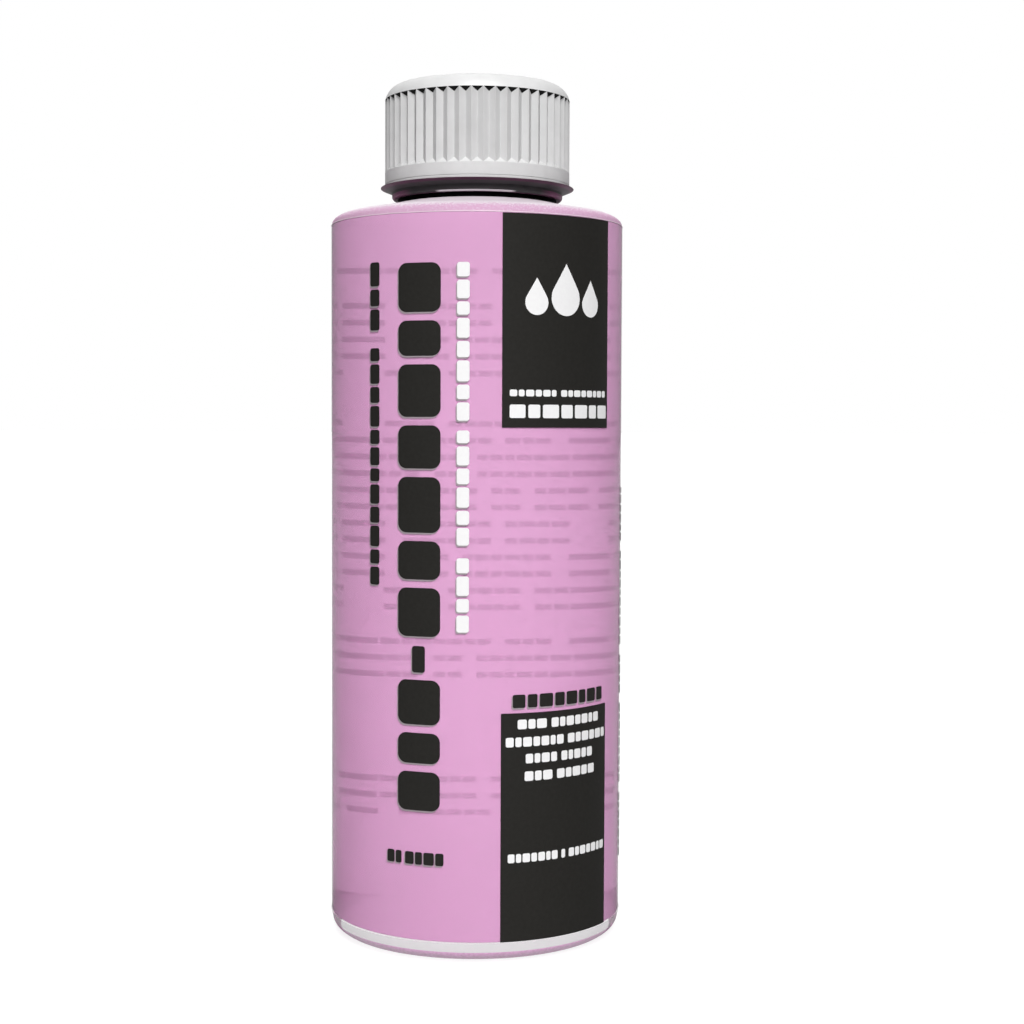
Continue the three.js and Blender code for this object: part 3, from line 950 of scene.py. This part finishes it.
def make_liner():
    radius = CAP_BORE_RADIUS - RUNNING_GAP
    edge = LINER_ROUND
    pressed = LINER_BOTTOM + LINER_PRINT
    ring_inner = BORE_RADIUS - SEAT_GAP - INSERT_WALL
    points = [
        (0, LINER_BOTTOM),
        (ring_inner - LINER_PRINT_RUN, LINER_BOTTOM),
        (ring_inner, pressed),
        (INSERT_FLANGE_RADIUS, pressed),
        (INSERT_FLANGE_RADIUS + LINER_PRINT_RUN, LINER_BOTTOM),
        *small_arc(radius - edge, LINER_BOTTOM + edge, edge, -90, 0),
        *small_arc(radius - edge, LINER_TOP - edge, edge, 0, 90),
        (0, LINER_TOP),
    ]
    liner = turned("liner_disc", [(0, points)], [foam_look()], even_columns(COLUMNS))
    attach(liner, "liner_body")
    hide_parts("cap_liner")


def cap_columns():
    """Four columns for each rib: both edges of its groove's floor and of its crest."""
    pitch = 2 * math.pi / RIB_COUNT
    land = RIB_LAND / 2 / CAP_RADIUS
    columns = []
    for rib in range(RIB_COUNT):
        groove = math.radians(RIB_TURN) + rib * pitch
        crest = groove + pitch / 2
        columns += [groove - land, groove + land, crest - land, crest + land]
    return columns


CAP_COLUMNS = cap_columns()
RIB_COLUMNS = len(CAP_COLUMNS) // RIB_COUNT
GROOVE_COLUMNS = 2  # the first columns of a rib, on its groove's floor
FLOOR, RISING, CREST, FALLING = range(RIB_COLUMNS)  # what lies between a column and the next
# the slot of the grooves' upper ends under the rim holds painted shade, near black
BAND, RIB, UNDER_RIM_SHADE, RIM = range(4)  # material slots


def cap_reach(radius, height, column):
    """Thread in the cap's bore, and grooves between the ribs on its outside."""
    if abs(radius - CAP_BORE_RADIUS) < SAME:
        climb = CAP_THREAD_BOTTOM - (THREAD_BOTTOM - THREAD_PITCH / 2)
        start = 2 * math.pi * climb / THREAD_PITCH
        rise = thread_rise(height, CAP_COLUMNS[column], CAP_THREAD_BOTTOM, start,
                           CAP_THREAD_ROOT_WIDTH, CAP_THREAD_CREST_WIDTH)
        return radius - THREAD_DEPTH * rise
    in_ribs = RIB_BOTTOM + SAME < height < RIB_TOP - SAME
    if abs(radius - CAP_RADIUS) < SAME and in_ribs and column % RIB_COLUMNS < GROOVE_COLUMNS:
        return radius - RIB_DEPTH
    return radius


def cap_split(start, end, column):
    """Splits the grooves' sloped ends along the lines that run to the groove's floor."""
    side = column % RIB_COLUMNS
    if start[0] != CAP_RADIUS or end[0] != CAP_RADIUS or side == CREST:
        return None
    if abs(start[1] - RIB_BOTTOM) < SAME:
        if side == FLOOR:
            return ("ac", BAND, BAND)
        return ("bd" if side == RISING else "ac", BAND, RIB)
    if abs(end[1] - RIB_TOP) < SAME:
        if side == FLOOR:
            return ("ac", UNDER_RIM_SHADE, UNDER_RIM_SHADE)
        return ("bd" if side == FALLING else "ac", RIB, UNDER_RIM_SHADE)
    return None


def cap_rim():
    """Round edge of the cap, part of an ellipse that leans in from the ribs up."""
    lean = math.radians(CAP_EDGE_START)
    rise = CAP_RIM / (1 - math.sin(lean))
    centre = CAP_RADIUS - CAP_EDGE_REACH * math.cos(lean)
    return arc(centre, CAP_TOP - rise, CAP_EDGE_REACH, CAP_EDGE_START, 90, rise=rise)


def cap_sections():
    """Profile of the cap, from its ceiling down the bore and up the outside to its top."""
    edge = CAP_LIP_ROUND
    groove = CAP_BOTTOM - CAP_GROOVE_DROP
    skirt = [
        (0, CAP_CEILING),
        (CAP_BORE_RADIUS - edge, CAP_CEILING),
        *thread_steps(CAP_BORE_RADIUS, CAP_CEILING - edge, CAP_LIP + edge),
        *small_arc(CAP_BORE_RADIUS + edge, CAP_LIP + edge, edge, 180, 270),
        *small_arc(CAP_RADIUS - edge, CAP_LIP + edge, edge, -90, 0),
        (CAP_RADIUS, groove - CAP_GROOVE),
        (CAP_RADIUS - CAP_GROOVE, groove),
        (CAP_RADIUS, groove + CAP_GROOVE),
        (CAP_RADIUS, RIB_BOTTOM),
    ]
    ribs = [
        (CAP_RADIUS, RIB_BOTTOM + RIB_LOWER_END),
        (CAP_RADIUS, RIB_TOP - RIB_UPPER_END),
        (CAP_RADIUS, RIB_TOP),
    ]
    top = [
        *cap_rim(),
        (GATE_RADIUS + GATE_RIM, CAP_TOP),
        (GATE_RADIUS, CAP_TOP - GATE_DEPTH),
        (0, CAP_TOP - GATE_DEPTH),
    ]
    return [(BAND, skirt), (RIB, ribs), (RIM, top)]


def cap_plastic(name, dark, light, roughness, gloss):
    """Plastic of the cap, mottled between two grey levels of 0 to 255."""
    return moulded(name, srgb(dark, dark, dark), srgb(light, light, light), roughness,
                   Specular_IOR_Level=gloss)


def make_cap():
    looks = [
        # one white plastic in three tones: the rim painted lighter and the ribs painted darker than the
        # band, as lit and shaded copies
        cap_plastic("band_plastic", 213, 220, 0.45, 0.3),
        cap_plastic("ribs_painted_darker", 208, 214, 0.5, 0.1),
        # painted shade on the grooves' upper ends, under the rim
        cap_plastic("rib_painted_shade", 34, 40, 0.7, 0.05),
        cap_plastic("rim_painted_lighter", 226, 232, 0.36, 0.5),
    ]
    cap = turned("cap_shell", cap_sections(), looks, CAP_COLUMNS, cap_reach, cap_split)
    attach(cap, "cap_body")
    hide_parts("cap")


# Studio
FLOOR_SIZE = 30
FLOOR_COLOUR = (0.25, 0.25, 0.25, 1)
FLOOR_LIFT = (0.84, 0.84, 0.84, 1)
WHITE = (1, 1, 1, 1)
AMBIENT = 0.05
SIDE_START = 0.3  # the studio brightens between these, from the bottle's sides to its front and back
SIDE_END = 0.75
SIDE_LEVEL = 0
REFLECTED = 0.35  # how bright the studio is in reflections
KEY = {"strength": 3.45, "spread": 30, "azimuth": 6, "elevation": 42, "gloss": True}
BACK = {"strength": 2.3, "spread": 60, "azimuth": 186, "elevation": 32, "gloss": False}


def along_view(tree, direction):
    """1 before and behind the bottle, fading to its sides, where the studio is dark."""
    unit = tree.nodes.new("ShaderNodeVectorMath")
    unit.operation = "NORMALIZE"
    parts = tree.nodes.new("ShaderNodeSeparateXYZ")
    fade = tree.nodes.new("ShaderNodeMapRange")
    fade.inputs["From Min"].default_value = SIDE_START
    fade.inputs["From Max"].default_value = SIDE_END
    fade.inputs["To Min"].default_value = SIDE_LEVEL
    tree.links.new(direction, unit.inputs[0])
    tree.links.new(unit.outputs["Vector"], parts.inputs["Vector"])
    tree.links.new(combined(tree, "ABSOLUTE", parts.outputs["Y"]), fade.inputs["Value"])
    return fade.outputs["Result"]


def seen_directly(tree, direction):
    """1 for the camera, less for what is seen in gloss or through the liquid, and 0 for light."""
    path = tree.nodes.new("ShaderNodeLightPath").outputs
    dimmed = combined(tree, "MULTIPLY", path["Is Glossy Ray"], REFLECTED)
    through = combined(tree, "MAXIMUM", dimmed, path["Is Transmission Ray"])
    faded = combined(tree, "MULTIPLY", through, along_view(tree, direction))
    return combined(tree, "MAXIMUM", path["Is Camera Ray"], faded)


def make_floor():
    bpy.ops.mesh.primitive_plane_add(size=FLOOR_SIZE)
    floor = bpy.context.object
    floor.name = "floor"
    material = bpy.data.materials.new("pale_floor")
    material.use_nodes = True
    tree = material.node_tree
    tree.nodes.clear()
    out = tree.nodes.new("ShaderNodeOutputMaterial")
    diffuse = tree.nodes.new("ShaderNodeBsdfDiffuse")
    diffuse.inputs["Color"].default_value = FLOOR_COLOUR
    glow = tree.nodes.new("ShaderNodeEmission")
    glow.inputs["Color"].default_value = FLOOR_LIFT
    both = tree.nodes.new("ShaderNodeAddShader")
    place = tree.nodes.new("ShaderNodeTexCoord").outputs["Object"]
    tree.links.new(seen_directly(tree, place), glow.inputs["Strength"])
    tree.links.new(diffuse.outputs["BSDF"], both.inputs[0])
    tree.links.new(glow.outputs["Emission"], both.inputs[1])
    tree.links.new(both.outputs["Shader"], out.inputs["Surface"])
    floor.data.materials.append(material)


def make_world():
    world = bpy.data.worlds.new("studio")
    world.use_nodes = True
    bpy.context.scene.world = world
    tree = world.node_tree
    tree.nodes.clear()
    out = tree.nodes.new("ShaderNodeOutputWorld")
    ambient = tree.nodes.new("ShaderNodeBackground")
    ambient.inputs["Color"].default_value = WHITE
    ambient.inputs["Strength"].default_value = AMBIENT
    white = tree.nodes.new("ShaderNodeBackground")
    white.inputs["Color"].default_value = WHITE
    mix = tree.nodes.new("ShaderNodeMixShader")
    direction = tree.nodes.new("ShaderNodeTexCoord").outputs["Generated"]
    tree.links.new(seen_directly(tree, direction), mix.inputs["Fac"])
    tree.links.new(ambient.outputs["Background"], mix.inputs[1])
    tree.links.new(white.outputs["Background"], mix.inputs[2])
    tree.links.new(mix.outputs["Shader"], out.inputs["Surface"])


def make_light(name, strength, spread, azimuth, elevation, gloss):
    """A wide, soft light from an angle, even over the whole floor. Gloss is for its highlights."""
    data = bpy.data.lights.new(name, "SUN")
    data.energy = strength
    data.angle = math.radians(spread)
    lamp = bpy.data.objects.new(name, data)
    bpy.context.scene.collection.objects.link(lamp)
    turn, lift = math.radians(azimuth), math.radians(elevation)
    level = math.cos(lift)
    towards = Vector((math.sin(turn) * level, -math.cos(turn) * level, math.sin(lift)))
    lamp.rotation_mode = "QUATERNION"
    lamp.rotation_quaternion = towards.to_track_quat("Z", "Y")
    lamp.visible_glossy = gloss
    lamp.visible_transmission = False  # it lights the bottle but isn't itself seen through the liquid


def make_camera():
    data = bpy.data.cameras.new("photo_camera")
    data.sensor_width = SENSOR
    data.lens = FOCAL_PIXELS * SENSOR / PHOTO_PIXELS
    data.clip_start = CAMERA_CLIP * MM
    camera = bpy.data.objects.new("photo_camera", data)
    bpy.context.scene.collection.objects.link(camera)
    look = Matrix.Rotation(math.radians(90 - CAMERA_PITCH), 4, "X")
    roll = Matrix.Rotation(math.radians(CAMERA_ROLL), 4, "Z")
    camera.matrix_world = Matrix.Translation(Vector(CAMERA_PLACE) * MM) @ look @ roll
    bpy.context.scene.camera = camera


make_camera()
make_bottle()
make_liquid()
make_label()
make_insert()
make_liner()
make_cap()
make_floor()
make_world()
make_light("key_light", **KEY)
make_light("back_light", **BACK)
bpy.context.scene.view_settings.view_transform = "Standard"
